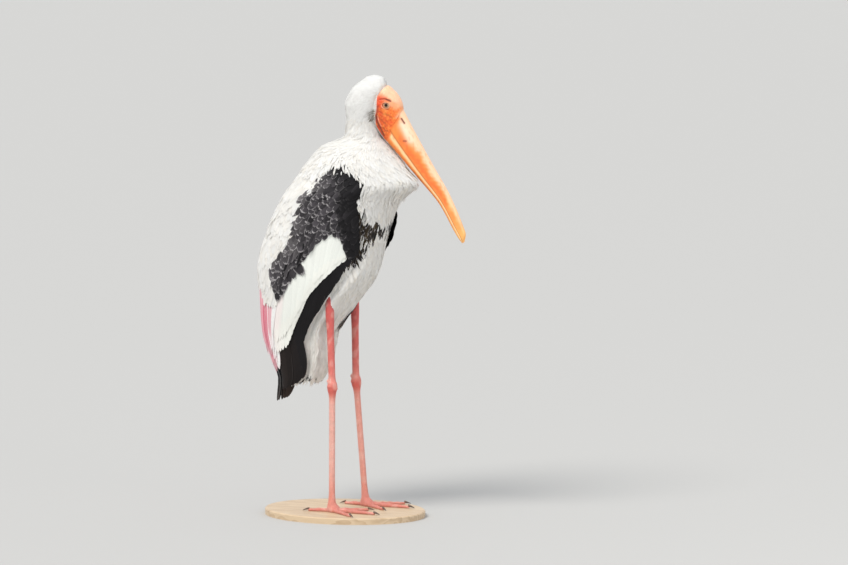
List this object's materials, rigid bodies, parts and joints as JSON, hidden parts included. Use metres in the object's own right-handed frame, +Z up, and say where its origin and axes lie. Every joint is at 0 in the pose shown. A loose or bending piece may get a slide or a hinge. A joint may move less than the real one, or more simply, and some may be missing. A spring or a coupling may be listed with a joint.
{
  "type": "painted stork, standing still model",
  "caption": "Life-size painted stork standing hunched on a low oval base, folded wings, bill lowered, head turned slightly to its left.",
  "frame": {"origin": "on the floor under the middle of the whole model's box; the base's underside is the floor level", "axes": "+Z up, +X the way the body faces, +Y the bird's left"},
  "size_m": [0.4096, 0.256, 0.8433],
  "materials": {
    "white_feathers": "soft matte feather",
    "black_feathers": "satin black feather with a faint green gloss",
    "rose_feathers": "soft matte rose-pink feather",
    "bill": "smooth satin horn, orange to yellow",
    "eye": "wet gloss, pale iris with a dark pupil",
    "claw": "dull dark brown horn",
    "bare_skin": "bare skin with a slight sheen: wrinkled and orange on the face, finely scaled and coral pink on the legs",
    "stand_oak": "pale oak, satin varnish"
  },
  "bodies": {
    "root": {"bill_lower": "bill", "bill_upper": "bill", "coverts_left": "black_feathers", "coverts_right": "black_feathers", "eye_left": "eye", "eye_right": "eye", "face": "bare_skin", "flight_left": "black_feathers", "flight_right": "black_feathers", "foot_left": "bare_skin", "foot_right": "bare_skin", "greater_coverts_left": "white_feathers", "greater_coverts_right": "white_feathers", "head": "white_feathers", "hind_claw_left": "claw", "hind_claw_right": "claw", "hind_toe_left": "bare_skin", "hind_toe_right": "bare_skin", "inner_claw_left": "claw", "inner_claw_right": "claw", "inner_toe_left": "bare_skin", "inner_toe_right": "bare_skin", "middle_claw_left": "claw", "middle_claw_right": "claw", "middle_toe_left": "bare_skin", "middle_toe_right": "bare_skin", "neck": "white_feathers", "outer_claw_left": "claw", "outer_claw_right": "claw", "outer_toe_left": "bare_skin", "outer_toe_right": "bare_skin", "ruff": "white_feathers", "scapulars_left": "white_feathers", "scapulars_right": "white_feathers", "shin_left": "bare_skin", "shin_right": "bare_skin", "stand_base": "stand_oak", "tail": "black_feathers", "tarsus_left": "bare_skin", "tarsus_right": "bare_skin", "tertials_left": "rose_feathers", "tertials_right": "rose_feathers", "trunk": "white_feathers", "undertail": "white_feathers"}
  },
  "joints": []
}
